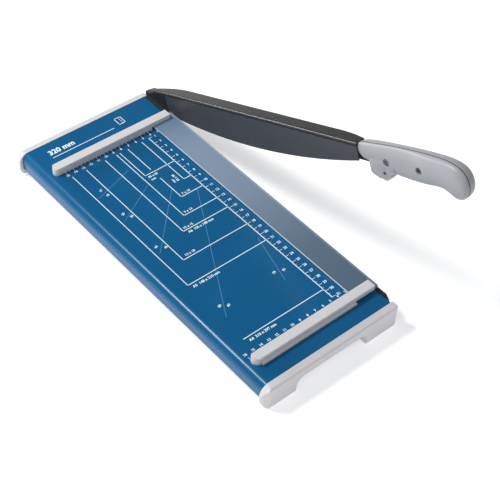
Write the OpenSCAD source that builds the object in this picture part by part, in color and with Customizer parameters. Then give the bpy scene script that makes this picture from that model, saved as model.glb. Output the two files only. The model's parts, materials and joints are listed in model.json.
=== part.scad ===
// Lever-arm paper trimmer with a bowed knife, an alignment table and a clear finger guard.
// Millimetres, +Z up. The pieces are drawn in the cutting frame: X = 0 is the cutting plane,
// Y = 0 the face of the far fence and Z = 0 the top of the table. in_frame() then moves them so
// that the origin is on the desk, under the middle of the trimmer with its arm raised.

/* [Table] */
// Cutting length, from fence to fence
cut_len = 320; // [240:1:460]
// Width of the table, from its rounded edge to the cutting plane
table_w = 172; // [140:1:320]
// Height of the table top above the desk
base_h = 28; // [28:0.5:45]
// Table beyond the far fence, where the arm is hinged
far_len = 51.5; // [50:0.5:90]
// Table beyond the near fence's face
near_len = 31.5; // [24:0.5:60]
// Thickness of the folded sheet
sheet_t = 1.2; // [0.8:0.1:2]
// Outer radius of the rolled long edge
edge_r = 9; // [5:0.5:12]
// Inside radius of the fold beside the fixed blade
fold_r = 0.8; // [0.5:0.1:2]
// Depth of the sheet's skirts
skirt_h = 19; // [14:0.5:22]
// Width of the lip turned in under the rolled edge
lip_w = 6; // [3:0.5:12]

/* [End caps] */
// Length of an end cap beyond the sheet
cap_len = 8.5; // [6:0.5:16]
// How far a cap stands proud of the table top
cap_proud = 0.6; // [0.2:0.1:2]
// How far a cap stands out past the rolled edge
cap_side = 3.5; // [1:0.5:8]
// Wall of the end caps
cap_wall = 2.5; // [1.5:0.1:4]
// Width of the foot beside the knife
right_foot_w = 43; // [30:1:60]
// Width of the foot under the rolled edge
left_foot_w = 40; // [30:1:60]
// Depth of the feet, front to back
foot_len = 22; // [16:1:40]
// Height of the bridge between the feet, from the table top down
bridge_h = 10.5; // [9:0.5:16]
// Radius of the rubber pads
pad_r = 6; // [4:0.5:8]
// How far the pads stand out of the feet
pad_proud = 0.8; // [0.4:0.1:2]

/* [Fences] */
// Width of a fence
fence_w = 11; // [8:0.5:16]
// Height of a fence
fence_h = 9; // [7:0.5:14]
// Gap from a fence's end to the cutting plane
fence_gap = 7.5; // [5:0.5:14]
// Gap from a fence's rounded end to the rolled edge
fence_inset = 10; // [8:1:60]
// Width of the step along a fence's outer foot
step_w = 2; // [1:0.25:4]
// Height of that step
step_h = 2.2; // [1:0.1:4]

/* [Finger guard] */
// Width of the clear finger guard
guard_w = 30; // [22:1:45]
// Thickness of the guard
guard_t = 2; // [1.5:0.1:3]
// Slot left for the paper under the guard
paper_gap = 1.4; // [1:0.1:3]
// Gap from the guard to the cutting plane
guard_gap = 0.6; // [0.4:0.1:3]

/* [Knife and arm] */
// Thickness of the fixed blade
blade_t = 4; // [3:0.25:6]
// Height of the fixed blade
blade_h = 22; // [18:0.5:24]
// Gap between the knife and the fixed blade
shear_gap = 0.15; // [0.05:0.01:0.3]
// Thickness of the knife
knife_t = 2; // [1.5:0.1:3]
// Thickness of the arm's web
web_t = 2.5; // [2:0.1:4]
// Width of the flange along the arm's top
flange_w = 15.4; // [12:0.1:24]
// Thickness of that flange
flange_t = 2.5; // [2:0.1:4]
// Height of the arm's top above the pivot
spine_h = 21; // [19:0.5:26]
// How far the bowed edge hangs below the pivot at its lowest
edge_drop = 17; // [13:0.5:17.5]
// Rise of the bowed edge from its lowest point to the handle's end
edge_rise = 19.4; // [12:0.1:22]
// Length of the knife beyond the near fence's face
knife_over = -9; // [-10:1:0]
// Angle of the raised arm above the table, as it is stored
rest_angle = 23.7; // [5:0.1:40]
// Angle of the fully open arm
open_angle = 60; // [45:1:70]

/* [Pivot] */
// Distance of the pivot behind the far fence's face
pivot_y = 41; // [36:0.5:80]
// Room between the pivot bolt's head and the table's sheet
pivot_room = 1.3; // [0.8:0.1:3]
// Radius of the pivot bolt
bolt_r = 4; // [3:0.1:5]
// Running clearance of the bush on the bolt, on radius
run_gap = 0.05; // [0.02:0.01:0.1]
// Wall of the bush
bush_wall = 2; // [1.2:0.1:3]
// Radius of the arm's rounded hinge end
boss_r = 17; // [16:0.5:18]
// Radius at which the stop pin sits
stop_pos_r = 12; // [11:0.5:12.5]
// Radius of the stop pin
stop_r = 2; // [1.5:0.1:2.2]

/* [Handle] */
// Length of the handle
handle_len = 136; // [120:1:170]
// Reach of the handle's outer half from the parting plane
grip_out = 14.5; // [10:0.5:20]
// Reach of the handle's inner half from the parting plane, behind the table's end
grip_in = 7.4; // [5.5:0.1:9]
// Width of the lug under the handle
lug_w = 4; // [3:0.5:8]
// Radius of the lug's buffer
buffer_r = 5; // [3:0.25:6]

/* [Hidden] */
$fn = 48;

eps = 0.01;                             // overshoot of a cutting tool
seat_gap = 0.05;                        // play of a fixed screw or pad in its hole, on radius

// The pivot lies under the table top by the bolt's head, the sheet and the room between them.
bolt_hole_r = bolt_r + 0.2;
washer_r = bolt_r + 5;                  // outer radius of the washer and the disc spring
wrench = bolt_r * 3.25;                 // width of the bolt's hexagon across its flats
hex_r = wrench / 2 / cos(30);
pivot_drop = wrench / 2 + sheet_t + pivot_room;

// Places along the table
near_end = -cut_len - near_len;         // where the sheet ends and the near cap begins
left_x = -table_w;
flange_x = -blade_t;                    // outer face of the sheet's flange beside the blade

// Arm frame: s runs from the pivot to the handle, h up from the pivot, for the closed arm.
// A point (x, s, h) is drawn at [x, -s, h] and the arm then turns up about X.
knife_x = shear_gap;                    // inner face of the knife
web_x = knife_x + knife_t;              // inner face of the web
web_out = web_x + web_t;                // outer face of the web, and the handle's parting plane
knife_s0 = pivot_y - 11;                // hinge end of the knife
knife_s1 = pivot_y + cut_len + knife_over;
knife_top = spine_h - 4;
bow_s = knife_s0 + (knife_s1 - knife_s0) * 0.42;  // where the edge hangs lowest
bow_reach = knife_s1 - bow_s;
edge_bow_r = (bow_reach * bow_reach + edge_rise * edge_rise) / (2 * edge_rise);
bow_h = edge_bow_r - edge_drop;         // height of the edge's centre of curvature
land_w = 0.4;                           // flat behind the cutting edge
bevel_h = 3;                            // height of the ground bevel
web_rise = 7;                           // the web stops this far above the edge

// Stack of pieces on the pivot bolt, from the table outwards
plate_t = 3;
plate_x = flange_x - sheet_t - plate_t; // inner face of the pivot plate
plate_top = -sheet_t - fold_r - 0.3;
bush_out = web_out + 0.35;
spring_t = 1.8;
spring_x = bush_out + run_gap;
washer_t = 1.6;
washer_x = spring_x + spring_t;
nut_x = washer_x + washer_t;
nut_h = 6.5;
bolt_out = nut_x + nut_h + 1.5;
bolt_head_h = 5.3;
stop_turn = -10;                        // the stop pin's direction below the closed arm
slot_r = stop_r + 0.15;

// Screws
m4_r = 2;
m4_hole_r = m4_r + 0.2;                 // free hole for the shank
m4_head_r = 3.8;
m4_head_h = 2.4;
fence_screw_x = [left_x + fence_inset + 14, -52, -fence_gap - 10];
fence_screw_up = fence_h - 2.5;         // reach of these screws above the table top
blade_screw_n = 4;
blade_screw_y = [for (i = [0:blade_screw_n - 1]) -0.08 * cut_len - i * 0.28 * cut_len];
blade_screw_z = -blade_h / 2;
blade_screw_in = 3;                     // depth of the blind holes in the fixed blade
plate_screw_y = [pivot_y - 29, pivot_y - 20];
plate_screw_z = -12;
rivet_n = 5;
rivet_s = [for (i = [0:rivet_n - 1]) knife_s0 + 18 + i * (knife_s1 - knife_s0 - 40) / (rivet_n - 1)];
rivet_r = 2.5;
rivet_head_r = 4;
rivet_h = knife_top - 7;
cap_screw_x = [left_x + 44, -62];
cap_screw_in = 8;                       // distance of these screws from the end of the sheet
nut_t = 3.2;
nut_w = 7;
tab_t = 4;                              // thickness of a cap's tab under the sheet
tab_top = -sheet_t - nut_t;
tab_len = 14;
tab_side = 12;                          // reach of the tab to either side of its screws
pad_t = 2;
pad_x = [left_x + left_foot_w / 2 + 1, -right_foot_w / 2 - 3];
foot_block_w = 26;                      // width of a foot's inner block, over its pad
pad_in = 4;                             // distance of the pads' centres inside the sheet's end

// Handle, in the arm frame
grip_s0 = knife_s1 + 0.3;               // the collar's front
arm_s1 = grip_s0 - 0.2;                 // where the web and the flange stop
grip_screw_s = [grip_s0 + 37.5, grip_s0 + 82];
grip_screw_h = [8, 10];
lug_s = grip_s0 + 33;
lug_h = -4;
tang_len = 100;
tang_h0 = 3.2;
tang_h1 = 15;

module in_frame() {
    translate([-(right_out + left_out) / 2, -(far_out + near_out) / 2, base_h]) children();
}
module in_arm() {
    in_frame() translate([0, pivot_y, -pivot_drop]) rotate([-rest_angle, 0, 0]) children();
}

// A plate in the arm's plane: the outline is in (s, h), and it spans x0 to x1.
module arm_plate(x0, x1) {
    translate([x0, 0, 0]) mirror([0, 1, 0]) rotate([90, 0, 90]) linear_extrude(x1 - x0) children();
}
module at_arm(x, s, h) {
    translate([x, -s, h]) rotate([0, 90, 0]) children();
}

// Rounded outlines: each corner is [x, y, radius].
function arc_turn(a) = a > 180 ? a - 360 : a < -180 ? a + 360 : a;
function corner_arc(a, p, b, r, n) = let(
        u = (a - p) / norm(a - p), v = (b - p) / norm(b - p),
        half = acos(max(-1, min(1, u * v))) / 2,
        c = p + (u + v) / norm(u + v) * r / sin(half),
        p1 = p + u * r / tan(half), p2 = p + v * r / tan(half),
        a1 = atan2(p1.y - c.y, p1.x - c.x),
        turn = arc_turn(atan2(p2.y - c.y, p2.x - c.x) - a1))
    [for (i = [0:n]) c + r * [cos(a1 + turn * i / n), sin(a1 + turn * i / n)]];
function xy(p) = [p.x, p.y];
function rounded(pts, n = 8) = [for (i = [0:len(pts) - 1])
    let(k = len(pts), a = xy(pts[(i + k - 1) % k]), p = pts[i], b = xy(pts[(i + 1) % k]))
    each (p[2] > 0 ? corner_arc(a, xy(p), b, p[2], n) : [xy(p)])];

// A smooth curve through b and c, with a and d as their neighbours
function smooth_at(a, b, c, d, t) = 0.5 * (2 * b + (c - a) * t + (2 * a - 5 * b + 4 * c - d) * t * t
    + (3 * b - a - 3 * c + d) * t * t * t);

// ---- Screws, drawn with the head's seat at the origin and the shank along +Z ----
module cross_recess(r, depth) {
    for (turn = [0, 90]) rotate([0, 0, turn]) translate([-r, -0.45, -eps]) cube([2 * r, 0.9, depth + eps]);
}
module pan_screw(r, len, head_r, head_h) {
    difference() {
        union() {
            cylinder(r = r - seat_gap, h = len);
            translate([0, 0, -head_h]) cylinder(r1 = head_r * 0.8, r2 = head_r, h = head_h * 0.5);
            translate([0, 0, -head_h / 2]) cylinder(r = head_r, h = head_h / 2);
        }
        translate([0, 0, -head_h]) cross_recess(head_r * 0.5, head_h * 0.6);
    }
}
module hexagon(corner_r, h) {
    rotate([0, 0, 30]) cylinder(r = corner_r, h = h, $fn = 6);
}

// ---- Table ----
// The sheet's outer outline, seen along Y, drawn in by inset.
module sheet_outline(inset, depth) {
    big = edge_r - inset;
    small = fold_r + sheet_t - inset;
    x0 = left_x + inset;
    x1 = flange_x - inset;
    translate([x0, -depth]) square([x1 - x0, depth - inset - big]);
    translate([x0 + big, -depth]) square([x1 - x0 - big - small, depth - inset]);
    translate([x0 + big, -inset - big - eps]) square([x1 - x0 - big, big + eps - small]);
    translate([x0 + big, -inset - big]) circle(big);
    translate([x1 - small, -inset - small]) circle(small);
}
module along_y(y0, y1) {
    translate([0, y1, 0]) rotate([90, 0, 0]) linear_extrude(y1 - y0) children();
}
module pivot_hole(r, x0, x1) {
    translate([x0 - eps, pivot_y, -pivot_drop]) rotate([0, 90, 0]) cylinder(r = r, h = x1 - x0 + 2 * eps);
}
module at_fence_screws() {
    for (x = fence_screw_x) {
        translate([x, fence_w / 2, 0]) children();
        translate([x, -cut_len - fence_w / 2, 0]) children();
    }
}
module at_blade_screws() {
    for (y = blade_screw_y) translate([flange_x - sheet_t, y, blade_screw_z]) rotate([0, 90, 0]) children();
}
module at_plate_screws() {
    for (y = plate_screw_y) translate([plate_x, y, plate_screw_z]) rotate([0, 90, 0]) children();
}
stop_y = pivot_y - stop_pos_r * cos(stop_turn);
stop_z = -pivot_drop + stop_pos_r * sin(stop_turn);
module table_panel() {
    color("steelblue") in_frame() difference() {
        union() {
            along_y(near_end, far_len) difference() {
                sheet_outline(0, skirt_h);
                sheet_outline(sheet_t, skirt_h + 1);
            }
            translate([left_x + sheet_t - eps, near_end, -skirt_h]) cube([lip_w, far_len - near_end, sheet_t]);
        }
        at_fence_screws() translate([0, 0, -5]) cylinder(r = m4_hole_r, h = 10);
        at_blade_screws() translate([0, 0, -1]) cylinder(r = m4_hole_r, h = 4);
        at_plate_screws() cylinder(r = m4_hole_r, h = plate_t + sheet_t + 1);
        translate([flange_x - sheet_t - 1, stop_y, stop_z]) rotate([0, 90, 0]) cylinder(r = stop_r + 0.2, h = 3);
        pivot_hole(bolt_hole_r, flange_x - sheet_t, flange_x);
    }
}

// ---- End caps, drawn for the near end with the sheet's end at Y = 0 and the outside towards -Y ----
cap_right = -1;
cap_left = left_x - cap_side;
foot_z = -base_h + pad_proud;
module cap_outline(inset) {
    arch_x0 = cap_left + left_foot_w + inset;
    arch_x1 = cap_right - right_foot_w - inset;
    polygon(rounded([
        [cap_right - inset, cap_proud - inset, 3],
        [cap_left + inset, cap_proud - inset, edge_r + cap_side - 1],
        [cap_left + inset, foot_z + inset, 8],
        [arch_x0 - 2 * inset, foot_z + inset, 1.5],
        [arch_x0 - 2 * inset, -bridge_h + inset, 9],
        [arch_x1 + 2 * inset, -bridge_h + inset, 9],
        [arch_x1 + 2 * inset, foot_z + inset, 1.5],
        [cap_right - inset, foot_z + inset, 2]]));
}
module cap_plan() {
    polygon(rounded([[cap_right, 1, 0], [cap_left, 1, 0], [cap_left, -cap_len, cap_len - 1],
        [cap_right, -cap_len, 4]]));
}
module cap_side_outline() {
    polygon(rounded([[1, cap_proud, 0], [-cap_len, cap_proud - 0.8, 2.2], [-cap_len, foot_z, 1],
        [1, foot_z, 0]]));
}
module end_cap() {
    far_x = cap_left - 5;
    difference() {
        union() {
            intersection() {
                along_y(-cap_len, 0) cap_outline(0);
                translate([0, 0, foot_z - 5]) linear_extrude(base_h + 15) cap_plan();
                translate([far_x, 0, 0]) rotate([90, 0, 90]) linear_extrude(table_w + 30) cap_side_outline();
            }
            // Tab under the sheet, joined to the bridge, and the feet's inner blocks
            translate([cap_screw_x[0] - tab_side, -cap_wall, tab_top - tab_t])
                cube([cap_screw_x[1] - cap_screw_x[0] + 2 * tab_side, tab_len + cap_wall, tab_t]);
            for (x = pad_x) translate([x - foot_block_w / 2, -cap_wall, foot_z])
                cube([foot_block_w, foot_len - cap_len + cap_wall, base_h - pad_proud - skirt_h - 0.3]);
        }
        // Hollow behind the outer face
        intersection() {
            along_y(-cap_len + cap_wall, eps) cap_outline(cap_wall);
            translate([far_x, -cap_len, -bridge_h + cap_wall]) cube([table_w + 20, cap_len + 1, bridge_h]);
        }
        for (x = pad_x) translate([x, pad_in, foot_z - eps]) cylinder(r = pad_r, h = pad_t - pad_proud + eps);
        for (x = cap_screw_x) translate([x, cap_screw_in, tab_top - tab_t - eps])
            cylinder(r = m4_hole_r, h = tab_t + 2 * eps);
    }
}
module at_near_end() { translate([0, near_end, 0]) children(); }
module at_far_end() { translate([0, far_len, 0]) mirror([0, 1, 0]) children(); }
module near_end_cap() {
    color("gainsboro") in_frame() at_near_end() end_cap();
}
module far_end_cap() {
    color("gainsboro") in_frame() at_far_end() end_cap();
}
module pads() {
    for (x = pad_x) translate([x, pad_in, -base_h]) cylinder(r = pad_r - seat_gap, h = pad_t);
}
module rubber_pads() {
    color("dimgray") in_frame() {
        at_near_end() pads();
        at_far_end() pads();
    }
}
module cap_fixings() {
    for (x = cap_screw_x) translate([x, cap_screw_in, tab_top - tab_t])
        pan_screw(m4_r, tab_t + nut_t - 0.3, m4_head_r, m4_head_h);
}
module cap_screws() {
    color("silver") in_frame() {
        at_near_end() cap_fixings();
        at_far_end() cap_fixings();
    }
}
module end_nuts() {
    for (x = cap_screw_x) difference() {
        translate([x - nut_w / 2, cap_screw_in - nut_w / 2, tab_top]) cube([nut_w, nut_w, nut_t]);
        translate([x, cap_screw_in, tab_top - eps]) cylinder(r = m4_r, h = nut_t + 2 * eps);
    }
}
module weld_nuts() {
    color("silver") in_frame() {
        at_near_end() end_nuts();
        at_far_end() end_nuts();
    }
}

// ---- Fences and finger guard, drawn for the far end with the guiding face at Y = 0 ----
guard_x1 = -guard_gap;
guard_x0 = guard_x1 - guard_w;
guard_tuck = fence_w - 1.5;             // length of the guard's ends under the fences
under_x = guard_x0 - 2.5;               // where the fences' undercut starts
under_h = paper_gap + guard_t + 0.1;
module fence() {
    x0 = left_x + fence_inset;
    x1 = -fence_gap;
    difference() {
        union() {
            intersection() {
                linear_extrude(fence_h) polygon(rounded([[x1, 0, 0.8], [x1, fence_w, 0.8],
                    [x0, fence_w, fence_w * 0.6], [x0, 0, fence_w * 0.35]]));
                translate([x0 - 1, 0, 0]) rotate([90, 0, 90]) linear_extrude(x1 - x0 + 2)
                    polygon(rounded([[0, 0, 0], [fence_w, 0, 0], [fence_w, fence_h, 1.2], [0, fence_h, 0.8]]));
            }
            translate([x0 + fence_w * 0.6, fence_w - eps, 0]) cube([under_x - x0 - fence_w * 0.6, step_w, step_h]);
        }
        translate([under_x, -1, -eps]) cube([guard_w + 20, fence_w + step_w + 2, under_h + eps]);
        for (x = fence_screw_x) translate([x, fence_w / 2, -eps])
            cylinder(r = m4_r, h = fence_screw_up + 0.5 + eps);
    }
}
module at_near_fence() { translate([0, -cut_len, 0]) mirror([0, 1, 0]) children(); }
module far_fence() {
    color("gainsboro") in_frame() fence();
}
module near_fence() {
    color("gainsboro") in_frame() at_near_fence() fence();
}
module fence_screws() {
    color("silver") in_frame() at_fence_screws() translate([0, 0, -sheet_t])
        pan_screw(m4_r, fence_screw_up + sheet_t, m4_head_r, m4_head_h);
}
module guard_spacers() {
    color("silver") in_frame() for (y = [fence_w / 2, -cut_len - fence_w / 2])
        translate([fence_screw_x[2], y, 0]) difference() {
            cylinder(r = m4_r + 2, h = paper_gap);
            translate([0, 0, -eps]) cylinder(r = m4_r, h = paper_gap + 2 * eps);
        }
}
module finger_guard() {
    color("lightblue", 0.4) in_frame() difference() {
        translate([0, 0, paper_gap]) linear_extrude(guard_t) polygon(rounded([
            [guard_x0, guard_tuck, 1.5], [guard_x1, guard_tuck, 1.5],
            [guard_x1, -cut_len - guard_tuck, 1.5], [guard_x0, -cut_len - guard_tuck, 1.5]]));
        for (y = [fence_w / 2, -cut_len - fence_w / 2])
            translate([fence_screw_x[2], y, paper_gap - eps]) cylinder(r = m4_hole_r, h = guard_t + 2 * eps);
    }
}

// ---- Fixed blade and pivot ----
blade_y0 = near_end + 6;                // near end of the fixed blade
blade_y1 = far_len - 1;
blade_corner = 5;                       // its cut corners
module fixed_blade() {
    color("dimgray") in_frame() difference() {
        translate([-blade_t, 0, 0]) rotate([90, 0, 90]) linear_extrude(blade_t) polygon([
            [blade_y1, 0], [blade_y1, -blade_h], [blade_y0 + blade_corner, -blade_h],
            [blade_y0, -blade_h + blade_corner], [blade_y0, -blade_corner], [blade_y0 + blade_corner, 0]]);
        at_blade_screws() cylinder(r = m4_r, h = sheet_t + blade_screw_in);
        at_plate_screws() cylinder(r = m4_r, h = plate_t + sheet_t + blade_screw_in);
        translate([-blade_t - eps, stop_y, stop_z]) rotate([0, 90, 0]) cylinder(r = stop_r, h = blade_t + 2 * eps);
        pivot_hole(bolt_hole_r, -blade_t, 0);
    }
}
module fixed_blade_screws() {
    color("silver") in_frame() at_blade_screws()
        pan_screw(m4_r, sheet_t + blade_screw_in - 0.4, m4_head_r, m4_head_h);
}
module pivot_plate() {
    color("silver") in_frame() difference() {
        translate([plate_x, 0, 0]) rotate([90, 0, 90]) linear_extrude(plate_t) polygon(rounded([
            [pivot_y + 9, plate_top, 1.5], [pivot_y - 34, plate_top, 1.5],
            [pivot_y - 34, -skirt_h, 4], [pivot_y + 9, -skirt_h, 4]]));
        at_plate_screws() translate([0, 0, -eps]) cylinder(r = m4_hole_r, h = plate_t + 2 * eps);
        translate([plate_x - eps, stop_y, stop_z]) rotate([0, 90, 0]) cylinder(r = stop_r + 0.1, h = plate_t + 1);
        pivot_hole(bolt_hole_r, plate_x, plate_x + plate_t);
    }
}
module pivot_plate_screws() {
    color("silver") in_frame() at_plate_screws()
        pan_screw(m4_r, plate_t + sheet_t + blade_screw_in - 0.4, m4_head_r, m4_head_h);
}
module stop_pin() {
    color("silver") in_frame() translate([plate_x, stop_y, stop_z]) rotate([0, 90, 0]) {
        cylinder(r = stop_r - seat_gap / 2, h = web_out - plate_x);
        translate([0, 0, -1.2]) cylinder(r = stop_r + 1.2, h = 1.2);
    }
}
module at_pivot(x) {
    in_frame() translate([x, pivot_y, -pivot_drop]) rotate([0, 90, 0]) children();
}
module pivot_bolt() {
    color("silver") at_pivot(plate_x) {
        translate([0, 0, -bolt_head_h]) hexagon(hex_r, bolt_head_h);
        cylinder(r = bolt_r, h = bolt_out - plate_x);
    }
}
module disc_spring() {
    color("silver") at_pivot(spring_x) rotate_extrude() polygon([
        [bolt_hole_r, 0.8], [bolt_hole_r, spring_t], [washer_r, 1], [washer_r, 0]]);
}
module pivot_washer() {
    color("silver") at_pivot(washer_x) difference() {
        cylinder(r = washer_r, h = washer_t);
        translate([0, 0, -eps]) cylinder(r = bolt_hole_r, h = washer_t + 2 * eps);
    }
}
module pivot_nut() {
    color("silver") at_pivot(nut_x) difference() {
        union() {
            hexagon(hex_r, nut_h - 1.5);
            translate([0, 0, nut_h - 1.5]) cylinder(r = bolt_r + 1.6, h = 1.5);
        }
        translate([0, 0, -eps]) cylinder(r = bolt_r + seat_gap, h = nut_h + 2 * eps);
    }
}

// ---- Arm and knife ----
module edge_disc(r, x0, x1) {
    at_arm(x0, bow_s, bow_h) cylinder(r = r, h = x1 - x0, $fn = 720);
}
// The web fills the corner between the round boss and the heel of the knife.
heel_s = knife_s0 + 8;
heel_h = bow_h - sqrt(edge_bow_r * edge_bow_r - (heel_s - bow_s) * (heel_s - bow_s)) + 2;
module heel(x0, x1) {
    arm_plate(x0, x1) polygon([[0, 0], [boss_r * cos(65), -boss_r * sin(65)], [heel_s, heel_h],
        [heel_s, spine_h - 6], [0, spine_h - 6]]);
}
// The hinge end's outline: the round boss runs up into the straight spine.
module web_outline(s1) {
    polygon(rounded([[s1, spine_h, 0], [4, spine_h, 9], [-9.5, 17.5, 4], [-boss_r, 2, 0],
        each [for (a = [180:10:290]) [boss_r * cos(a), boss_r * sin(a), 0]],
        [heel_s, -13, 0], [s1, -13, 0]]));
}
// Curved slot that the stop pin runs in, from the closed arm to the open one
module stop_slot() {
    span = open_angle + 1;
    at_arm(knife_x - eps, 0, 0) rotate([0, 0, -90.5 - stop_turn]) {
        for (turn = [0, span]) rotate([0, 0, turn]) translate([stop_pos_r, 0, 0])
            cylinder(r = slot_r + 0.03, h = web_out - knife_x + 2 * eps);
        rotate_extrude(angle = span)
            translate([stop_pos_r - slot_r, 0]) square([2 * slot_r, web_out - knife_x + 2 * eps]);
    }
}
flange_full_s = 60;                     // the flange is full width from here on
flange_end_w = 10.8;                    // its width where it enters the collar
flange_taper = 40;                      // length over which it narrows to that
function flange_edge(s) = knife_x + max(1.5, flange_w * (1 - pow(1 - s / flange_full_s, 2)));
module flange_plan() {
    // (s, x) outline of the flange seen from above
    polygon([[0, knife_x], each [for (s = [0:4:flange_full_s]) [s, flange_edge(s)]],
        each [for (t = [0:0.2:1]) [grip_s0 + 2 - flange_taper * (1 - t),
            knife_x + flange_w - (flange_w - flange_end_w) * t * t]],
        [grip_s0 + 2, knife_x]]);
}
bend_r = 2.2;
module arm_blank() {
    tang_s1 = grip_s0 + tang_len;
    // Web behind the knife, cut concentric with the edge
    intersection() {
        arm_plate(web_x, web_out) web_outline(arm_s1);
        union() {
            edge_disc(edge_bow_r - web_rise, web_x, web_out);
            at_arm(web_x, 0, 0) cylinder(r = boss_r, h = web_t);
            heel(web_x, web_out);
        }
    }
    // Full thickness at the hinge
    intersection() {
        arm_plate(knife_x, web_out) web_outline(knife_s0 - 0.2);
        union() {
            edge_disc(edge_bow_r - web_rise, knife_x, web_out);
            at_arm(knife_x, 0, 0) cylinder(r = boss_r, h = web_out - knife_x);
            heel(knife_x, web_out);
        }
    }
    // Fold and flange along the top
    difference() {
        intersection() {
            arm_plate(knife_x, knife_x + flange_w) polygon([[4, spine_h - flange_t - 1.3], [4, spine_h],
                [arm_s1, spine_h], [arm_s1, spine_h - flange_t - 1.3]]);
            translate([0, 0, spine_h - 6]) linear_extrude(8) rotate([0, 0, -90]) flange_plan();
        }
        translate([web_out, -grip_s0 - 20, spine_h - 12]) cube([flange_w, grip_s0 + 40, 12 - flange_t]);
    }
    // Tang inside the handle
    arm_plate(web_x, web_out) polygon([[grip_s0 - 20, tang_h0], [tang_s1, tang_h0], [tang_s1, tang_h1],
        [grip_s0 - 20, tang_h1]]);
}
module blade_arm() {
    color("#26292c") in_arm() difference() {
        arm_blank();
        // Rounded fold along the inner top edge
        translate([knife_x, 0, spine_h]) rotate([90, 0, 0]) translate([0, 0, -40]) linear_extrude(grip_s0 + 80)
            difference() {
                translate([-1, -bend_r]) square([bend_r + 1, bend_r + 1]);
                translate([bend_r, -bend_r]) circle(bend_r);
            }
        at_arm(knife_x - eps, 0, 0) cylinder(r = bolt_r + run_gap + bush_wall, h = web_out - knife_x + 2 * eps);
        stop_slot();
        for (s = rivet_s) at_arm(web_x - eps, s, rivet_h) cylinder(r = rivet_r, h = web_t + 2 * eps);
        at_grip_screws(web_x - eps) cylinder(r = m4_hole_r, h = web_t + 2 * eps);
    }
}
module knife() {
    color("#34383c") in_arm() difference() {
        intersection() {
            arm_plate(knife_x, web_x) polygon([[knife_s0, knife_top], [knife_s0, -edge_drop - 2],
                [knife_s1, -edge_drop - 2], [knife_s1, knife_top]]);
            union() {
                edge_disc(edge_bow_r, knife_x, knife_x + land_w);
                at_arm(knife_x + land_w - eps, bow_s, bow_h)
                    cylinder(r1 = edge_bow_r, r2 = edge_bow_r - bevel_h, h = knife_t - land_w + eps, $fn = 720);
            }
        }
        for (s = rivet_s) at_arm(knife_x - eps, s, rivet_h) {
            cylinder(r = rivet_r, h = knife_t + 2 * eps);
            cylinder(r1 = rivet_head_r, r2 = rivet_r, h = 1);
        }
    }
}
module knife_rivets() {
    color("#34383c") in_arm() for (s = rivet_s) at_arm(knife_x, s, rivet_h) {
        cylinder(r1 = rivet_head_r - seat_gap, r2 = rivet_r - seat_gap, h = 1);
        cylinder(r = rivet_r - seat_gap, h = knife_t + web_t);
        translate([0, 0, knife_t + web_t]) cylinder(r1 = rivet_head_r, r2 = rivet_head_r * 0.7, h = 1.4);
    }
}
module pivot_bush() {
    color("#b08d57") in_arm() at_arm(knife_x, 0, 0) difference() {
        cylinder(r = bolt_r + run_gap + bush_wall, h = bush_out - knife_x);
        translate([0, 0, -eps]) cylinder(r = bolt_r + run_gap, h = bush_out - knife_x + 2 * eps);
    }
}

// ---- Handle ----
// Sections along the grip, from the collar's front to the tip of the hook: top point (s, h),
// bottom point (s, h), and the section's share of the full reach.
grip_sections = [[0, 20.2, 0.4, 8, 0.72], [3.5, 21.3, 5, 4.6, 0.86], [9, 21.9, 14, 2.8, 0.95],
    [21, 22.9, 24, 1, 1], [34, 23.8, 34, -1.2, 1], [49, 24.7, 46, -3.6, 1], [64, 25.3, 62, -4.8, 1],
    [78, 25.6, 75, -4.9, 1], [91, 25.5, 87, -4.4, 1], [102, 25.1, 96, -3.8, 1], [112, 24.2, 103, -3.6, 1],
    [121.5, 22.1, 108, -4.4, 1], [129.4, 18.2, 111.5, -5.8, 0.98], [134.1, 12, 114.5, -7.6, 0.93],
    [136, 5, 117.3, -9.2, 0.84], [135, -2, 120, -10.3, 0.7], [132.3, -6.8, 122.6, -10.9, 0.5],
    [129, -9.6, 125.4, -11, 0.28]];
grip_scale = handle_len / max([for (g = grip_sections) g[0]]);
grip_steps = 2;                         // steps from each section to the next
grip_ring = 12;                         // steps round half a section
grip_power = 0.8;                       // 1 is an ellipse, less is a fuller section
function grip_at(i) = grip_sections[max(0, min(len(grip_sections) - 1, i))];
grip_stations = [for (i = [0:len(grip_sections) - 2]) for (j = [0:grip_steps - 1])
    each [smooth_at(grip_at(i - 1), grip_at(i), grip_at(i + 1), grip_at(i + 2), j / grip_steps)],
    grip_at(len(grip_sections) - 1)];
function grip_s(x) = grip_s0 + x * grip_scale;
// The part of the handle that passes beside the fixed blade and the cap stays outside the cutting plane.
clear_x = shear_gap + 0.15;
clear_s = pivot_y - near_end + cap_len + 3;
function smooth_step(t) = let(u = max(0, min(1, t))) u * u * (3 - 2 * u);
function reach_at(s, reach) = reach > 0 ? reach
    : clear_x - web_out + (reach - clear_x + web_out) * smooth_step((s - clear_s) / 40);
function grip_point(g, reach, a) = let(
        top = [grip_s(g[0]), g[1]], bottom = [grip_s(g[2]), g[3]],
        c = cos(a), up = sign(c) * pow(abs(c), grip_power),
        p = (top + bottom) / 2 + (top - bottom) / 2 * up)
    [web_out + reach_at(p.x, reach) * g[4] * pow(abs(sin(a)), grip_power), -p.x, p.y];

// The trimmer's own box, to put the origin under its middle
far_out = max(pivot_y + boss_r, far_len + cap_len);
near_out = pivot_y - max([for (g = grip_stations) grip_s(g[0]) * cos(rest_angle) - g[1] * sin(rest_angle)]);
right_out = max(web_out + grip_out, bolt_out, knife_x + flange_w);
left_out = left_x - cap_side;

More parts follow.
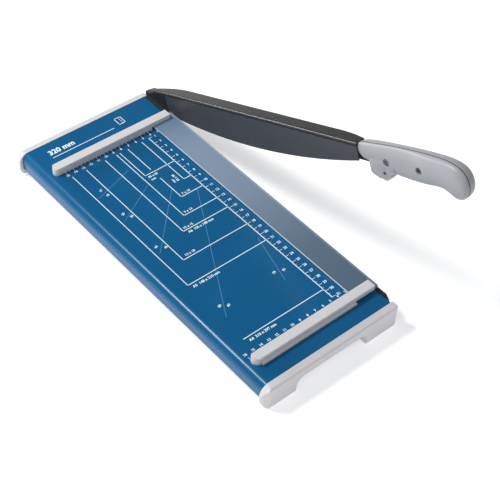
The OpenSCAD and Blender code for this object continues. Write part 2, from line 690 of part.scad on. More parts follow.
// One half of the grip, from the parting plane out to its reach
module grip_half(reach) {
    k = grip_ring + 1;
    n = len(grip_stations);
    points = [for (g = grip_stations) for (j = [0:grip_ring]) grip_point(g, reach, 180 * j / grip_ring)];
    skin = [for (i = [0:n - 2]) for (j = [0:grip_ring - 1])
        each [[i * k + j, i * k + j + 1, (i + 1) * k + j + 1], [i * k + j, (i + 1) * k + j + 1, (i + 1) * k + j]]];
    flat = [for (i = [0:n - 2]) [i * k, (i + 1) * k, (i + 1) * k + grip_ring, i * k + grip_ring]];
    ends = [[for (j = [0:grip_ring]) grip_ring - j], [for (j = [0:grip_ring]) (n - 1) * k + j]];
    faces = concat(skin, flat, ends);
    polyhedron(points, reach > 0 ? faces : [for (f = faces) [for (i = [len(f) - 1:-1:0]) f[i]]]);
}
module lug_outline() {
    polygon(rounded([[grip_s0 + 14, 8, 0], [grip_s0 + 14, -7, 3], [grip_s0 + 26, -11, 3],
        [grip_s0 + 46, -3, 2], [grip_s0 + 46, 8, 0]]));
}
module lug_ring(x0, x1) {
    at_arm(x0, lug_s, lug_h) cylinder(r = buffer_r + 1.6, h = x1 - x0);
}
module tang_pocket() {
    gap = 0.15;
    s0 = grip_s0 - 5;
    s1 = grip_s0 + tang_len + gap;
    arm_plate(web_x - gap, web_out + 1)
        polygon([[s0, tang_h0 - gap], [s1, tang_h0 - gap], [s1, tang_h1 + gap], [s0, tang_h1 + gap]]);
}
// The two screw places of the handle, from x outwards
module at_grip_screws(x) {
    for (i = [0, 1]) at_arm(x, grip_screw_s[i], grip_screw_h[i]) children();
}
module handle_inner_half() {
    color("gainsboro") in_arm() difference() {
        union() {
            grip_half(-grip_in);
            arm_plate(clear_x, web_out) lug_outline();
            lug_ring(clear_x, web_out);
        }
        tang_pocket();
        at_arm(-20, lug_s, lug_h) cylinder(r = buffer_r, h = 40);
        at_grip_screws(-20) cylinder(r = m4_hole_r, h = 40);
        at_grip_screws(-20) cylinder(r = grip_head_r + 0.1, h = 20 + grip_seat_x);
    }
}
nut_seat_x = web_out + 8;               // where the nuts sit in the outer half
grip_seat_x = web_x - 0.8;              // where the screw heads sit in the inner half
grip_head_r = 3.3;
grip_head_h = 1;
grip_nut_r = 4.2;                       // corner radius of the nuts' seats
grip_nut_h = 3.2;
module handle_outer_half() {
    color("gainsboro") in_arm() difference() {
        union() {
            grip_half(grip_out);
            arm_plate(web_out, web_out + lug_w) lug_outline();
            lug_ring(web_out, web_out + lug_w);
        }
        at_arm(-20, lug_s, lug_h) cylinder(r = buffer_r, h = 40);
        at_grip_screws(web_out - 1) cylinder(r = m4_hole_r, h = nut_seat_x - web_out + 2);
        at_grip_screws(nut_seat_x) hexagon(grip_nut_r, 30);
    }
}
module handle_screws() {
    color("silver") in_arm() at_grip_screws(grip_seat_x)
        pan_screw(m4_r, nut_seat_x + grip_nut_h - 0.4 - grip_seat_x, grip_head_r, grip_head_h);
}
module handle_nuts() {
    color("silver") in_arm() at_grip_screws(nut_seat_x) difference() {
        hexagon(grip_nut_r - seat_gap, grip_nut_h);
        translate([0, 0, -eps]) cylinder(r = m4_r, h = grip_nut_h + 2 * eps);
    }
}
module lug_buffer() {
    color("lightgray") in_arm() at_arm(clear_x, lug_s, lug_h) difference() {
        cylinder(r = buffer_r - seat_gap, h = web_out + lug_w + 0.6 - clear_x);
        translate([0, 0, -eps]) cylinder(r = buffer_r * 0.4, h = 2);
    }
}

table_panel();
near_end_cap();
far_end_cap();
rubber_pads();
cap_screws();
weld_nuts();
far_fence();
near_fence();
fence_screws();
guard_spacers();
finger_guard();
fixed_blade();
fixed_blade_screws();
pivot_plate();
pivot_plate_screws();
stop_pin();
pivot_bolt();
disc_spring();
pivot_washer();
pivot_nut();
pivot_bush();
blade_arm();
knife();
knife_rivets();
handle_inner_half();
handle_outer_half();
handle_screws();
handle_nuts();
lug_buffer();
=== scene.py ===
import json
import math

import bmesh
import bpy
from mathutils import Matrix, Vector


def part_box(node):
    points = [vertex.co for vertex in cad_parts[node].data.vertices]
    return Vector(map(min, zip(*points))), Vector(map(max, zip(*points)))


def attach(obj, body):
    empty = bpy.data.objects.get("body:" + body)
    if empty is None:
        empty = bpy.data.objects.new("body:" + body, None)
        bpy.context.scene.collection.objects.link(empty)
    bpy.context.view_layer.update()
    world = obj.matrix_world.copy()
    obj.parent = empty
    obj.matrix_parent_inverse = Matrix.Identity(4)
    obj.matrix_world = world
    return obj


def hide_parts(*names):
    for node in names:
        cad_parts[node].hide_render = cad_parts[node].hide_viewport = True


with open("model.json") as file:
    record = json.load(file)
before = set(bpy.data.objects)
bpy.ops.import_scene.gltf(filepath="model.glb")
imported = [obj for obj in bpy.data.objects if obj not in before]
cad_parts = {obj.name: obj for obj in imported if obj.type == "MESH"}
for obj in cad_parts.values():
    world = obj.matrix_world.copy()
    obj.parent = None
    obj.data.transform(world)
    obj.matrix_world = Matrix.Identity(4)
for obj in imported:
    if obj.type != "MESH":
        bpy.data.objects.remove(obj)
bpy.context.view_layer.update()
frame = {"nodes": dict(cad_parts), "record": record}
scene = bpy.context.scene
nodes = frame["nodes"]
MM = 0.001

# ---- The trimmer's own axes ----
# X = 0 is the cutting plane, Y = 0 the far fence's face, Z = 0 the table top
X0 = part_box("fixed_blade")[1][0]
Y0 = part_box("far_fence")[0][1]
Z0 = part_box("table_panel")[1][2]
CUT_LEN = (Y0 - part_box("near_fence")[1][1]) / MM
JOINT = frame["record"]["behaviour"]["joints"][0]
PIVOT = Vector((X0, JOINT["pos_m"][1], JOINT["pos_m"][2]))
REST = math.radians(-JOINT["range_deg"][0])


def at(x, y, z=0.0):
    """A point in millimetres on the table, as a place in the scene."""
    return Vector((X0 + x * MM, Y0 + y * MM, Z0 + z * MM))


def arm_at(x, s, h):
    """A point of the closed arm in millimetres, s from the pivot to the handle, h up from the pivot."""
    c, k = math.cos(REST), math.sin(REST)
    return PIVOT + Vector((x, -s * c + h * k, s * k + h * c)) * MM


# ---- Materials ----
def material(name, color, rough, metallic=0.0, tint=0.0, tint_scale=40.0, grain=0.0, grain_scale=1500.0,
             rough_vary=0.0, stretch=(1, 1, 1), edge=0.0, specular=None):
    """A Principled material with colour variation, roughness variation, a fine grain and softened edges."""
    m = bpy.data.materials.new(name)
    m.use_nodes = True
    nt = m.node_tree
    bsdf = nt.nodes["Principled BSDF"]
    bsdf.inputs["Metallic"].default_value = metallic
    bsdf.inputs["Roughness"].default_value = rough
    if specular is not None:
        bsdf.inputs["Specular IOR Level"].default_value = specular
    coords = nt.nodes.new("ShaderNodeTexCoord")
    mapping = nt.nodes.new("ShaderNodeMapping")
    mapping.inputs["Scale"].default_value = stretch
    nt.links.new(coords.outputs["Object"], mapping.inputs["Vector"])

    def noise(scale, detail):
        n = nt.nodes.new("ShaderNodeTexNoise")
        n.inputs["Scale"].default_value = scale
        n.inputs["Detail"].default_value = detail
        nt.links.new(mapping.outputs["Vector"], n.inputs["Vector"])
        return n.outputs["Fac"]

    ramp = nt.nodes.new("ShaderNodeValToRGB")
    darker, lighter = ramp.color_ramp.elements
    darker.position, lighter.position = 0.3, 0.7
    darker.color = (*[c * (1 - tint) for c in color], 1)
    lighter.color = (*[min(1, c * (1 + tint)) for c in color], 1)
    nt.links.new(noise(tint_scale, 3), ramp.inputs["Fac"])
    nt.links.new(ramp.outputs["Color"], bsdf.inputs["Base Color"])
    if rough_vary:
        span = nt.nodes.new("ShaderNodeMapRange")
        span.inputs["To Min"].default_value = max(0.02, rough - rough_vary)
        span.inputs["To Max"].default_value = rough + rough_vary
        nt.links.new(noise(tint_scale * 4, 4), span.inputs["Value"])
        nt.links.new(span.outputs["Result"], bsdf.inputs["Roughness"])
    normal = None
    if edge:
        bevel = nt.nodes.new("ShaderNodeBevel")
        bevel.samples = 4
        bevel.inputs["Radius"].default_value = edge * MM
        normal = bevel.outputs["Normal"]
    if grain:
        bump = nt.nodes.new("ShaderNodeBump")
        bump.inputs["Strength"].default_value = grain
        bump.inputs["Distance"].default_value = 0.1 * MM
        nt.links.new(noise(grain_scale, 5), bump.inputs["Height"])
        if normal:
            nt.links.new(normal, bump.inputs["Normal"])
        normal = bump.outputs["Normal"]
    if normal:
        nt.links.new(normal, bsdf.inputs["Normal"])
    return m


BLUE = material("blue_powder_coat", (0.002, 0.100, 0.245), 0.25, tint=0.06, tint_scale=12,
                grain=0.005, grain_scale=900, rough_vary=0.03, specular=0.28)
LIGHT = material("light_moulded_plastic", (0.66, 0.645, 0.665), 0.5, tint=0.02,
                 grain=0.25, grain_scale=2600, rough_vary=0.06, edge=0.5)
HANDLE = material("handle_plastic", (0.345, 0.35, 0.365), 0.4, tint=0.03,
                  grain=0.12, grain_scale=2200, rough_vary=0.05)
RUBBER = material("black_rubber", (0.03, 0.03, 0.03), 0.8, tint=0.15, grain=0.5, grain_scale=1800)
ZINC = material("zinc_plated_steel", (0.60, 0.60, 0.58), 0.32, metallic=1, tint=0.08, tint_scale=120,
                grain=0.15, rough_vary=0.08, edge=0.2)
BLACK_SCREW = material("blued_steel", (0.16, 0.19, 0.24), 0.35, metallic=0.7, tint=0.1,
                       rough_vary=0.08, edge=0.2)
ARM = material("black_enamel", (0.012, 0.012, 0.012), 0.27, tint=0.15, tint_scale=9,
               grain=0.08, grain_scale=1100, rough_vary=0.04, edge=0.9, specular=0.45)
BRUSHED = (1, 0.06, 1)      # stretches the grain along the blades
KNIFE = material("dark_knife_steel", (0.062, 0.062, 0.068), 0.42, metallic=0.35, tint=0.12, tint_scale=8,
                 grain=0.2, grain_scale=900, rough_vary=0.06, stretch=BRUSHED, edge=0.15)
BLADE = material("dark_blade_steel", (0.028, 0.029, 0.031), 0.36, metallic=0.3, tint=0.1,
                 grain=0.2, grain_scale=900, rough_vary=0.06, stretch=BRUSHED, edge=0.3)
BUFFER = material("grey_buffer_rubber", (0.31, 0.315, 0.33), 0.6, tint=0.05, grain=0.2, edge=0.6)
# near-black painted shade for the parting groove's floor and walls
GROOVE_SHADE = material("painted_groove_shade", (0.05, 0.05, 0.055), 0.7, tint=0.1)
BRASS = material("turned_brass", (0.60, 0.42, 0.16), 0.28, metallic=1, tint=0.06,
                 rough_vary=0.05, edge=0.2)
PRINT = material("white_print", (0.88, 0.97, 1.0), 0.5, tint=0.03, tint_scale=200)
PRINT_FINE = material("pale_blue_print", (0.12, 0.33, 0.55), 0.5, tint=0.03, tint_scale=200)

# Smoky tint along the finger guard, lightened towards its far end by a painted reflection: (place from its
# near end to its far end, colour)
HAZE_AND_REFLECTION = ((0.0, (0.085, 0.15, 0.23)), (0.25, (0.14, 0.21, 0.30)), (0.55, (0.30, 0.40, 0.52)),
        (0.8, (0.34, 0.44, 0.58)), (1.0, (0.20, 0.34, 0.50)))
HAZE_AND_REFLECTION_SHARE = 0.85                       # of the smoky tint and its painted reflection over the material's own colour
# painted highlight: the guard's cut edges are coloured pale and made nearly solid
RIM_HIGHLIGHT_COLOR = (0.86, 0.91, 0.96, 1)
CLEAR_ALPHA, RIM_HIGHLIGHT_ALPHA = 0.62, 0.95


def clear_material():
    """Smoky clear plastic: its tint changes along its length, lighter towards the far end as a painted
    reflection; its cut edges carry a painted highlight, pale and nearly solid.
    """
    m = material("clear_guard_plastic", (0.3, 0.4, 0.5), 0.14, tint=0.04, tint_scale=10,
                 grain=0.06, grain_scale=500, rough_vary=0.03, specular=0.4)
    nt = m.node_tree
    bsdf = nt.nodes["Principled BSDF"]
    tinted = next(n for n in nt.nodes if n.bl_idname == "ShaderNodeValToRGB")

    def axis(vector, name):
        parts = nt.nodes.new("ShaderNodeSeparateXYZ")
        nt.links.new(vector, parts.inputs["Vector"])
        return parts.outputs[name]

    def span(value, start, end, low=0.0, high=1.0):
        n = nt.nodes.new("ShaderNodeMapRange")
        for socket, setting in (("From Min", start), ("From Max", end), ("To Min", low), ("To Max", high)):
            n.inputs[socket].default_value = setting
        nt.links.new(value, n.inputs["Value"])
        return n.outputs["Result"]

    def mix(factor, under, over):
        n = nt.nodes.new("ShaderNodeMix")
        n.data_type = "RGBA"
        sockets = (n.inputs["Factor"], n.inputs[6], n.inputs[7])     # 6 and 7 are its two colour inputs
        for socket, value in zip(sockets, (factor, under, over)):
            if isinstance(value, bpy.types.NodeSocket):
                nt.links.new(value, socket)
            else:
                socket.default_value = value
        return n.outputs[2]                                          # its colour output

    # faces turned along X are the guard's cut edges, which get the painted highlight
    flatness = nt.nodes.new("ShaderNodeMath")
    flatness.operation = "ABSOLUTE"
    geometry = nt.nodes.new("ShaderNodeNewGeometry")
    nt.links.new(axis(geometry.outputs["True Normal"], "X"), flatness.inputs[0])
    edge = span(flatness.outputs["Value"], 0.35, 0.85)

    coords = nt.nodes.new("ShaderNodeTexCoord")
    # painted reflection: the smoky tint runs lighter from the near end towards the far end
    low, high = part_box("finger_guard")
    haze_and_reflection = nt.nodes.new("ShaderNodeValToRGB")
    while len(haze_and_reflection.color_ramp.elements) < len(HAZE_AND_REFLECTION):
        haze_and_reflection.color_ramp.elements.new(0.5)
    for element, (position, color) in zip(haze_and_reflection.color_ramp.elements, HAZE_AND_REFLECTION):
        element.position = position
        element.color = (*color, 1)
    nt.links.new(span(axis(coords.outputs["Object"], "Y"), low[1], high[1]), haze_and_reflection.inputs["Fac"])

    body = mix(HAZE_AND_REFLECTION_SHARE, tinted.outputs["Color"], haze_and_reflection.outputs["Color"])
    # the cut edges' painted highlight over the tinted body, paler and nearly solid
    nt.links.new(mix(edge, body, RIM_HIGHLIGHT_COLOR), bsdf.inputs["Base Color"])
    nt.links.new(span(edge, 0, 1, CLEAR_ALPHA, RIM_HIGHLIGHT_ALPHA), bsdf.inputs["Alpha"])
    return m


CLEAR = clear_material()

BY_NODE = {
    BLUE: ["table_panel"],
    LIGHT: ["near_end_cap", "far_end_cap", "far_fence", "near_fence"],
    BUFFER: ["lug_buffer"],
    HANDLE: ["handle_inner_half", "handle_outer_half"],
    RUBBER: ["rubber_pads"],
    ZINC: ["cap_screws", "weld_nuts", "fence_screws", "guard_spacers", "fixed_blade_screws", "pivot_plate",
           "pivot_plate_screws", "stop_pin", "pivot_bolt", "disc_spring", "pivot_washer", "pivot_nut",
           "handle_nuts"],
    BLACK_SCREW: ["handle_screws"],
    CLEAR: ["finger_guard"],
    BLADE: ["fixed_blade"],
    KNIFE: ["knife", "knife_rivets"],
    ARM: ["blade_arm"],
    BRASS: ["pivot_bush"],
}
for mat, names in BY_NODE.items():
    for name in names:
        for slot in nodes[name].material_slots:
            slot.material = mat


# ---- Mesh helpers ----
def make_mesh(name, verts, faces):
    mesh = bpy.data.meshes.new(name)
    mesh.from_pydata([tuple(v) for v in verts], [], faces)
    return mesh


def add_piece(name, verts, faces, mat, body):
    mesh = make_mesh(name, verts, faces)
    mesh.materials.append(mat)
    obj = bpy.data.objects.new(name, mesh)
    scene.collection.objects.link(obj)
    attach(obj, body)
    return obj


# ---- Printing on the table ----
class Print:
    """Flat artwork just above the table: strips and small characters in one mesh."""

    def __init__(self, lift):
        self.lift, self.verts, self.faces = lift, [], []

    def strip(self, x0, y0, x1, y1, width):
        """A straight line with square ends."""
        d = Vector((x1 - x0, y1 - y0)).normalized() * width / 2
        n = Vector((-d.y, d.x))
        a, b = Vector((x0, y0)) - d, Vector((x1, y1)) + d
        k = len(self.verts)
        self.verts += [at(p.x, p.y, self.lift) for p in (a - n, b - n, b + n, a + n)]
        self.faces.append((k, k + 1, k + 2, k + 3))

    def path(self, points, width):
        for (x0, y0), (x1, y1) in zip(points, points[1:]):
            self.strip(x0, y0, x1, y1, width)

    def text(self, body, x, y, size, turn=0.0, align="LEFT", weight=0.0):
        """Characters of Blender's own font, at the middle of their height."""
        curve = bpy.data.curves.new("print_text", "FONT")
        curve.body = body
        curve.size = size
        curve.align_x = align
        curve.align_y = "CENTER"
        curve.resolution_u = 3
        curve.offset = weight
        obj = bpy.data.objects.new("print_text", curve)
        mesh = obj.to_mesh()
        c, s = math.cos(math.radians(turn)), math.sin(math.radians(turn))
        k = len(self.verts)
        self.verts += [at(x + v.co.x * c - v.co.y * s, y + v.co.x * s + v.co.y * c, self.lift)
                       for v in mesh.vertices]
        self.faces += [tuple(k + i for i in p.vertices) for p in mesh.polygons]
        obj.to_mesh_clear()
        bpy.data.objects.remove(obj)
        bpy.data.curves.remove(curve)

    def make(self, name, mat):
        add_piece(name, self.verts, self.faces, mat, "base")


LIFT, FINE_LIFT = 0.03, 0.02       # of the printing above the table
LINE_W, FINE_LINE_W, CAPTION_LINE_W = 0.88, 0.42, 0.8
TICK_W, HALF_TICK_W, FENCE_TICK_W = 0.5, 0.3, 0.45
CM = 10

# Styles of the characters
SCALE_NUMBER = {"size": 4.4, "align": "CENTER", "weight": 0.12}
FENCE_NUMBER = {"size": 4.2, "align": "CENTER", "weight": 0.1}
ANGLE_NUMBER = {"size": 3.9, "turn": 25, "align": "CENTER", "weight": 0.12}
PICTURE = {"size": 4.2, "weight": 0.1}
PAPER_SMALL = {"size": 4.3, "weight": 0.13}
PAPER = {"size": 4.4, "weight": 0.13}
CARD = {"size": 3.9, "weight": 0.12}
CARD_UP = {**CARD, "turn": 90}

# Centimetre scale beside the guard, from the far fence on
SCALE_X = -45.5
SCALE_CMS = 31
SCALE_LINE_W = 1.05
TICK, FIFTH_TICK, HALF_TICK = 4.2, 5.2, 2.2
SCALE_NUMBER_X = -37.2
scale = Print(LIFT)
scale.strip(SCALE_X, -CM, SCALE_X, -CM * SCALE_CMS, SCALE_LINE_W)
for cm in range(1, SCALE_CMS + 1):
    y = -CM * cm
    scale.strip(SCALE_X, y, SCALE_X + (TICK if cm % 5 else FIFTH_TICK), y, TICK_W)
    if cm < SCALE_CMS:
        scale.strip(SCALE_X, y - CM / 2, SCALE_X + HALF_TICK, y - CM / 2, HALF_TICK_W)
    scale.text(str(cm), SCALE_NUMBER_X, y - 0.4, **SCALE_NUMBER)

# Centimetre scales along both fences: (side, fence's face, last number, numbers' distance from the face)
FIRST_FENCE_CM = 3
for side, face, last, number_gap in ((-1, 0, 15, 5.9), (1, -CUT_LEN, 16, 7.3)):
    start, full_end, half_end = (face + side * reach for reach in (0.3, 3.4, 2))
    for cm in range(FIRST_FENCE_CM, last + 1):
        x = -CM * cm
        scale.strip(x, start, x, full_end, FENCE_TICK_W)
        if cm < last:
            scale.strip(x - CM / 2, start, x - CM / 2, half_end, HALF_TICK_W)
        scale.text(str(cm), x - 0.5, face + side * number_gap, **FENCE_NUMBER)
scale.make("print_scales", PRINT)

# Outlines of paper and picture formats, each from the far fence or its label to the scale line
TOP_Y = -10.6
formats = Print(LIFT)
for x, y in ((148, 210), (130, 180), (105, 148), (90, 130), (85.5, 56.5), (55.5, 85.6)):
    formats.path([(-x, TOP_Y), (-x, -y), (SCALE_X, -y)], LINE_W)
formats.path([(-74.7, -11), (-74.7, -52)], LINE_W)
formats.path([(-74.7, -69.5), (-74.7, -106), (SCALE_X, -106)], LINE_W)
formats.path([(-149, -297), (SCALE_X, -297)], LINE_W)
for label, x, y, style in (
        ("7 x 10", -71.5, -102.8, PICTURE), ("9 x 13", -87, -126.4, PICTURE),
        ("10 x 15", -102.6, -144.6, PICTURE), ("A6  105 x 148 mm", -101.5, -152.2, PAPER_SMALL),
        ("13 x 18", -125, -176, PICTURE), ("A5  148 x 210 mm", -145, -214.8, PAPER),
        ("A4  210 x 297 mm", -145.5, -301.8, PAPER), ("85 x 55", -84, -60.8, CARD), ("mm", -84, -65.6, CARD),
        ("55 x 85", -61.3, -84.5, CARD_UP), ("mm", -66.2, -84.5, CARD_UP)):
    formats.text(label, x, y, **style)
formats.make("print_formats", PRINT)

# The cutting length and a small sheet with its cut line, beyond the far fence
caption = Print(LIFT)
caption.text("320 mm", -147.5, 35.5, 10, weight=0.3)
caption.strip(-147, 27.6, -66, 27.6, CAPTION_LINE_W)
caption.path([(-57, 29), (-49, 29), (-49, 40), (-57, 40), (-57, 28.6)], CAPTION_LINE_W)
for y in (30, 33, 36, 39):
    caption.strip(-52, y - 0.4, -52, y + 0.8, 0.7)
caption.make("print_caption", PRINT)

# Fine lines for cutting at an angle, each with a pair of small numbers beside its end
angle_lines = Print(FINE_LIFT)
for line in (((-54, -107), (-144, -265)), ((-50, -202), (-67, -264)), ((-75, -90), (-143, -158)),
             ((-92, -70), (-144, -99)), ((-94, -38), (-145, -55))):
    angle_lines.path(line, FINE_LINE_W)
angle_lines.make("print_angle_lines", PRINT_FINE)
marks = Print(LIFT)
for label, x, y in (("17", -136.5, -46.5), ("18", -134.8, -56.5), ("29", -138.8, -89.5),
                    ("30", -133.6, -97.5), ("44", -140.7, -148.6), ("46", -132.9, -154.8),
                    ("58", -140.4, -250.4), ("60", -132.8, -254.9), ("73", -68.9, -249.6),
                    ("75", -58.7, -252.9)):
    marks.text(label, x, y, **ANGLE_NUMBER)
marks.make("print_angle_marks", PRINT)

# ---- Handle halves ----
# A close loft of the CAD's sections, with a parting groove coloured in painted shade and clean screw recesses
KNIFE_AND_WEB = 4.5                # thickness of the knife and the arm's web together
PARTING_X = (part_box("blade_arm")[0][0] - X0) / MM + KNIFE_AND_WEB
INNER_X = (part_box("handle_inner_half")[0][0] - X0) / MM
OUTER_X = (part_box("handle_outer_half")[1][0] - X0) / MM
GRIP_S0 = 352.3                    # where the handle begins along the arm
# Each section: its top point (s, h), its bottom point (s, h) and how far it swells out, from 0 to 1
SECTIONS = [
    (0, 20.2, 0.4, 8, 0.72), (3.5, 21.3, 5, 4.6, 0.86), (9, 21.9, 14, 2.8, 0.95), (21, 22.9, 24, 1, 1),
    (34, 23.8, 34, -1.2, 1), (49, 24.7, 46, -3.6, 1), (64, 25.3, 62, -4.8, 1), (78, 25.6, 75, -4.9, 1),
    (91, 25.5, 87, -4.4, 1), (102, 25.1, 96, -3.8, 1), (112, 24.2, 103, -3.6, 1), (121.5, 22.1, 108, -4.4, 1),
    (129.4, 18.2, 111.5, -5.8, 0.98), (134.1, 12, 114.5, -7.6, 0.93), (136, 5, 117.3, -9.2, 0.84),
    (135, -2, 120, -10.3, 0.7), (132.3, -6.8, 122.6, -10.9, 0.5), (129, -9.6, 125.4, -11, 0.28),
]
STEPS = 7                          # rows of the loft between two sections
RING = 28                          # faces of the loft from top to bottom
ROUND = 0.8                        # 1 is an ellipse, less is squarer
CUT_ROOM = 0.3                     # between the cutting plane and the inner half, before it swells past it
SWELL_S, SWELL_LEN = 404, 40       # where the inner half starts to swell, and over what length
GROOVE_W, GROOVE_D = 0.35, 1.0     # half the parting groove's width, and its depth
GROOVE_LIP = 0.08                  # from the groove to the loft's first point
GROOVE_SHARE = 0.4                 # the groove's largest depth, as a share of a section's half


def catmull(a, b, c, d, t):
    """A point between b and c on the smooth curve through the four."""
    return [0.5 * (2 * q + (r - p) * t + (2 * p - 5 * q + 4 * r - w) * t * t
                   + (3 * q - p - 3 * r + w) * t ** 3) for p, q, r, w in zip(a, b, c, d)]


def smooth_step(t):
    t = max(0.0, min(1.0, t))
    return t * t * (3 - 2 * t)


def stations():
    """The sections with STEPS - 1 rows added between each two."""
    last = len(SECTIONS) - 1
    rows = []
    for i in range(last):
        four = [SECTIONS[max(0, min(last, i + k))] for k in (-1, 0, 1, 2)]
        rows += [catmull(*four, j / STEPS) for j in range(STEPS)]
    return rows + [list(SECTIONS[-1])]


def grip_loop(row, reach):
    """One row as a loop of (x from the parting plane, (s, h)), out to its reach and back to the groove."""
    top, bottom = Vector(row[0:2]), Vector(row[2:4])
    middle, half = (top + bottom) / 2, (top - bottom) / 2
    near = CUT_ROOM - PARTING_X

    def surface(a):
        p = middle + half * math.copysign(abs(math.cos(a)) ** ROUND, math.cos(a))
        out = reach
        if reach < 0:
            out = near + (reach - near) * smooth_step((p.x + GRIP_S0 - SWELL_S) / SWELL_LEN)
        return out * row[4] * max(0.0, math.sin(a)) ** ROUND, p

    start = math.asin(min(0.9, (GROOVE_W + GROOVE_LIP) / abs(surface(math.pi / 2)[0])) ** (1 / ROUND))
    loop = [surface(start + (math.pi - 2 * start) * j / RING) for j in range(RING + 1)]
    sunk = []
    for end in (0, math.pi):
        p = surface(end)[1]
        sunk.append(p + (middle - p).normalized() * min(GROOVE_D, (middle - p).length * GROOVE_SHARE))
    groove_x = math.copysign(GROOVE_W, reach)
    return [(0.0, sunk[0]), (groove_x, sunk[0])] + loop + [(groove_x, sunk[1]), (0.0, sunk[1])]


def grip_half(name, reach, cad_node):
    """One half of the grip, lofted from its rows, with the parting groove's floor and walls in their own
    near-black material, a painted shade.
    """
    rows = stations()
    verts, faces, groove_shade_faces = [], [], set()
    for row in rows:
        verts += [arm_at(PARTING_X + x, GRIP_S0 + p.x, p.y) for x, p in grip_loop(row, reach)]
    k, n = RING + 5, len(rows)      # a loop has RING + 1 points and two groove points at each end
    for i in range(n - 1):
        for j in range(k - 1):
            # the groove's floor and walls, which get the painted shade
            if j < 2 or j > k - 4:
                groove_shade_faces.add(len(faces))
            faces.append((i * k + j, i * k + j + 1, (i + 1) * k + j + 1, (i + 1) * k + j))
        faces.append((i * k, (i + 1) * k, (i + 1) * k + k - 1, i * k + k - 1))
    faces.append(tuple(range(k - 1, -1, -1)))
    faces.append(tuple((n - 1) * k + j for j in range(k)))
    if reach < 0:
        faces = [tuple(reversed(f)) for f in faces]
    obj = add_piece(name, verts, faces, HANDLE, "arm")
    obj.data.shade_smooth()
    # the second material paints shade into the parting groove
    obj.data.materials.append(GROOVE_SHADE)
    for index in groove_shade_faces:
        obj.data.polygons[index].material_index = 1
    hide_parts(cad_node)
    return obj


SHARP = 1.2                        # angle in radians from which a tool's edge is softened
SOFT_EDGE = 0.5


def prism(x0, x1, outline, soften=False):
    """A solid between two places along X, from an outline of (s, h) in the arm's frame."""
    n = len(outline)
    verts = [arm_at(x, s, h) for x in (x0, x1) for s, h in outline]
    faces = [(i, (i + 1) % n, n + (i + 1) % n, n + i) for i in range(n)]
    faces += [tuple(range(n - 1, -1, -1)), tuple(range(n, 2 * n))]
    mesh = make_mesh("tool", verts, faces)
    bm = bmesh.new()
    bm.from_mesh(mesh)
    bmesh.ops.recalc_face_normals(bm, faces=bm.faces)
    if soften:
        sharp = [e for e in bm.edges if e.calc_face_angle(0) > SHARP]
        bmesh.ops.bevel(bm, geom=sharp, offset=SOFT_EDGE * MM, segments=2, affect="EDGES", profile=0.5)
    bm.to_mesh(mesh)
    bm.free()
    return mesh


def round_prism(x0, x1, s, h, r, sides=48):
    turns = [2 * math.pi * i / sides for i in range(sides)]
    return prism(x0, x1, [(s + r * math.cos(a), h + r * math.sin(a)) for a in turns])


def boolean(obj, mesh, operation):
    """Joins a tool mesh to the object or cuts it away."""
    tool = bpy.data.objects.new("tool", mesh)
    scene.collection.objects.link(tool)
    mod = obj.modifiers.new(operation.lower(), "BOOLEAN")
    mod.operation = operation
    mod.solver = "EXACT"
    mod.object = tool
    deps = bpy.context.evaluated_depsgraph_get()
    done = bpy.data.meshes.new_from_object(obj.evaluated_get(deps))
    obj.modifiers.remove(mod)
    old = obj.data
    obj.data = done
    bpy.data.meshes.remove(old)
    bpy.data.objects.remove(tool)
    bpy.data.meshes.remove(mesh)


# The lug under the grip, around the buffer: its outline from the handle's beginning, and its round end
LUG = [(14, 8), (14, -4.4), (14.8, -6), (16.4, -7.6), (22, -9.7), (25.4, -10.8), (27.4, -10.6), (43.5, -4),
       (45.2, -3), (46, -1.6), (46, 8)]
LUG_S, LUG_H, LUG_R = GRIP_S0 + 33, -4, 7.4
LUG_T = 4                          # how far it reaches out from the parting plane
LUG_PLATE_X = 0.35                 # the inner face of its plate
BUFFER_HOLE_R = 5.02
SCREWS = ((GRIP_S0 + 37.5, 8), (GRIP_S0 + 82, 10))      # their places (s, h)
SCREW_HOLE_R = 2.2
RECESS_X, RECESS_R = 1.35, 3.8     # floor and radius of the screws' recesses
NUT_DEPTH, NUT_R = 8, 4.3          # from the parting plane to the nuts' pockets, and their radius
BEYOND = 40                        # past any face of the handle
CREASE = 38                        # degrees from which an edge of the handle is shaded sharp
# The pocket for the arm's tang: its ends along s, its bottom and top, and its inner face
TANG_S0, TANG_S1 = GRIP_S0 - 5, GRIP_S0 + 100.2
TANG_H0, TANG_H1 = 3.0, 15.2
TANG_X = 1.95

inner = grip_half("handle_inner_shell", INNER_X - PARTING_X, "handle_inner_half")
outer = grip_half("handle_outer_shell", OUTER_X - PARTING_X, "handle_outer_half")
lug_outline = [(GRIP_S0 + s, h) for s, h in LUG]
for half, plate_x, round_x, end_x in ((inner, LUG_PLATE_X, CUT_ROOM, PARTING_X),
                                      (outer, PARTING_X, PARTING_X, PARTING_X + LUG_T)):
    boolean(half, prism(plate_x, end_x, lug_outline, soften=True), "UNION")
    boolean(half, round_prism(round_x, end_x, LUG_S, LUG_H, LUG_R), "UNION")
for s, h in SCREWS:
    boolean(inner, round_prism(-BEYOND, RECESS_X, s, h, RECESS_R), "DIFFERENCE")
    boolean(inner, round_prism(-BEYOND, BEYOND, s, h, SCREW_HOLE_R), "DIFFERENCE")
    boolean(outer, round_prism(-BEYOND, PARTING_X + NUT_DEPTH, s, h, SCREW_HOLE_R), "DIFFERENCE")
    boolean(outer, round_prism(PARTING_X + NUT_DEPTH, BEYOND, s, h, NUT_R, sides=6), "DIFFERENCE")
tang_outline = [(TANG_S0, TANG_H0), (TANG_S1, TANG_H0), (TANG_S1, TANG_H1), (TANG_S0, TANG_H1)]
for half, past in ((inner, 0.8), (outer, 0.05)):
    boolean(half, round_prism(-BEYOND, BEYOND, LUG_S, LUG_H, BUFFER_HOLE_R), "DIFFERENCE")
    boolean(half, prism(TANG_X, PARTING_X + past, tang_outline, soften=True), "DIFFERENCE")
    half.data.shade_smooth()
    half.data.set_sharp_from_angle(angle=math.radians(CREASE))

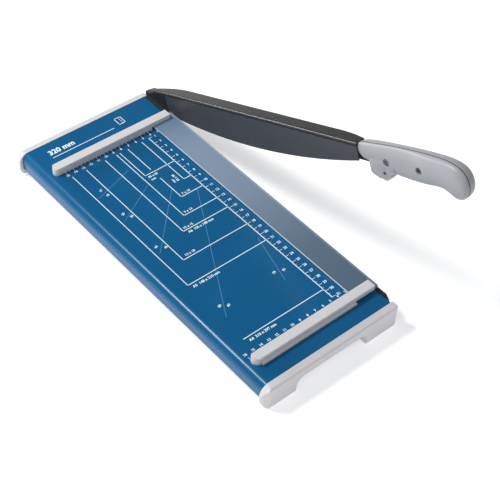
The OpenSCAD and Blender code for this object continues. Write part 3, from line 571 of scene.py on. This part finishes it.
# ---- Floor, light and camera ----
FLOOR_HALF = 6
FLOOR = material("pale_floor", (0.90, 0.90, 0.90), 0.6, tint=0.005, tint_scale=3)
floor_bsdf = FLOOR.node_tree.nodes["Principled BSDF"]
floor_bsdf.inputs["Emission Color"].default_value = (1, 1, 1, 1)
floor_bsdf.inputs["Emission Strength"].default_value = 0.4
corners = [(x * FLOOR_HALF, y * FLOOR_HALF, 0) for x, y in ((-1, -1), (1, -1), (1, 1), (-1, 1))]
floor_mesh = make_mesh("floor", corners, [(0, 1, 2, 3)])
floor_mesh.materials.append(FLOOR)
floor = bpy.data.objects.new("floor", floor_mesh)
scene.collection.objects.link(floor)


def area_light(name, place, target, size, power):
    """A rectangular lamp of (width, height) in metres, turned to its target."""
    data = bpy.data.lights.new(name, "AREA")
    data.shape = "RECTANGLE"
    data.size, data.size_y = size
    data.energy = power
    obj = bpy.data.objects.new(name, data)
    obj.location = place
    obj.rotation_euler = (Vector(target) - Vector(place)).to_track_quat("-Z", "Y").to_euler()
    scene.collection.objects.link(obj)


area_light("key_softbox", (-0.85, 1.0, 1.75), (0, 0, 0), (0.5, 0.4), 30)
area_light("back_strip", (-0.9, 2.6, 0.75), (0, 0, 0.1), (1.5, 0.4), 34)
area_light("left_softbox", (-2.4, -1.0, 1.3), (0, 0, 0.05), (0.8, 0.8), 5)
area_light("top_fill", (-0.1, -1.5, 2.3), (0, 0, 0.05), (1.6, 1.6), 13)
world = bpy.data.worlds.new("studio")
world.use_nodes = True
background = world.node_tree.nodes["Background"]
background.inputs["Color"].default_value = (0.93, 0.96, 1.0, 1)
background.inputs["Strength"].default_value = 0.26
scene.world = world
scene.view_settings.view_transform = "Standard"
scene.view_settings.look = "None"

CAMERA_PLACE = at(-659.5, -850.8, 905.1)
CAMERA_BACK = Vector((-0.4708, -0.5094, 0.7203)).normalized()    # from the scene towards the camera
CAMERA_RIGHT = Vector((0.7623, -0.6459, 0.0414))
camera_data = bpy.data.cameras.new("camera")
camera_data.sensor_width = 36
camera_data.lens = 88.6
camera = bpy.data.objects.new("camera", camera_data)
right = (CAMERA_RIGHT - CAMERA_BACK * CAMERA_RIGHT.dot(CAMERA_BACK)).normalized()
up = CAMERA_BACK.cross(right)
turn = Matrix((right, up, CAMERA_BACK)).transposed().to_4x4()
camera.matrix_world = Matrix.Translation(CAMERA_PLACE) @ turn
scene.collection.objects.link(camera)
scene.camera = camera
